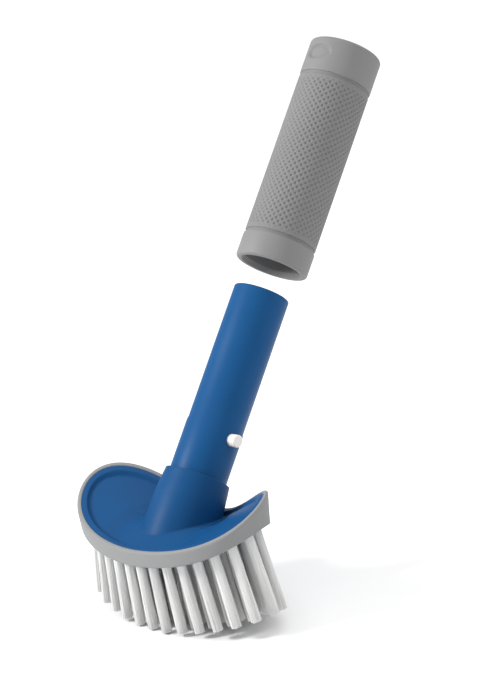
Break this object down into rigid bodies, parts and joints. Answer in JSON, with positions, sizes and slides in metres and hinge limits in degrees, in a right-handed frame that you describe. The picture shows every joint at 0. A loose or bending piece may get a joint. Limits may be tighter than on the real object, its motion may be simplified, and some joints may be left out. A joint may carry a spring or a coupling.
{
  "type": "pool wall brush",
  "caption": "Curved oval pool wall brush with bristle tufts, a soft rim and a leaning spigot tube with a snap button, its hand grip pulled off the tube.",
  "frame": {"origin": "under the middle of the head, on the trimmed end of the middle tuft", "axes": "+Z from the bristle tips up to the head, X along the head, +Y the way the tube leans"},
  "size_m": [0.1274, 0.2023, 0.2557],
  "materials": {
    "head_blue": "satin moulded plastic",
    "rim_grey": "matt soft moulding",
    "tube_blue": "satin extruded plastic",
    "button_white": "smooth",
    "spring_steel": "bright strip",
    "grip_grey": "smooth satin",
    "sleeve_grey": "dimpled soft sleeve",
    "bristle_white": "bundled filaments",
    "staple_metal": "drawn strip"
  },
  "bodies": {
    "brush": {"head_base": "head_blue", "rim_bumper": "rim_grey", "handle_tube": "tube_blue", "leaf_spring": "spring_steel", "tufts_outer_front": "bristle_white", "tufts_outer_back": "bristle_white", "tufts_middle_front": "bristle_white", "tufts_middle_back": "bristle_white", "tufts_inner_front": "bristle_white", "tufts_inner_back": "bristle_white", "tufts_centre": "bristle_white", "staples_outer_front": "staple_metal", "staples_outer_back": "staple_metal", "staples_middle_front": "staple_metal", "staples_middle_back": "staple_metal", "staples_inner_front": "staple_metal", "staples_inner_back": "staple_metal", "staples_centre": "staple_metal"},
    "button": {"snap_button": "button_white"},
    "grip": {"grip_core": "grip_grey", "grip_sleeve": "sleeve_grey"}
  },
  "joints": [
    {"name": "button_press", "type": "slide", "parent": "brush", "child": "button", "axis": [-1, 0, 0], "range_m": [0, 0.0048], "stiffness_N_per_m": 400, "deforming": ["leaf_spring"]},
    {"name": "grip_slide", "type": "slide", "parent": "brush", "child": "grip", "axis": [0, -0.6018, -0.7986], "range_m": [0, 0.085]}
  ]
}
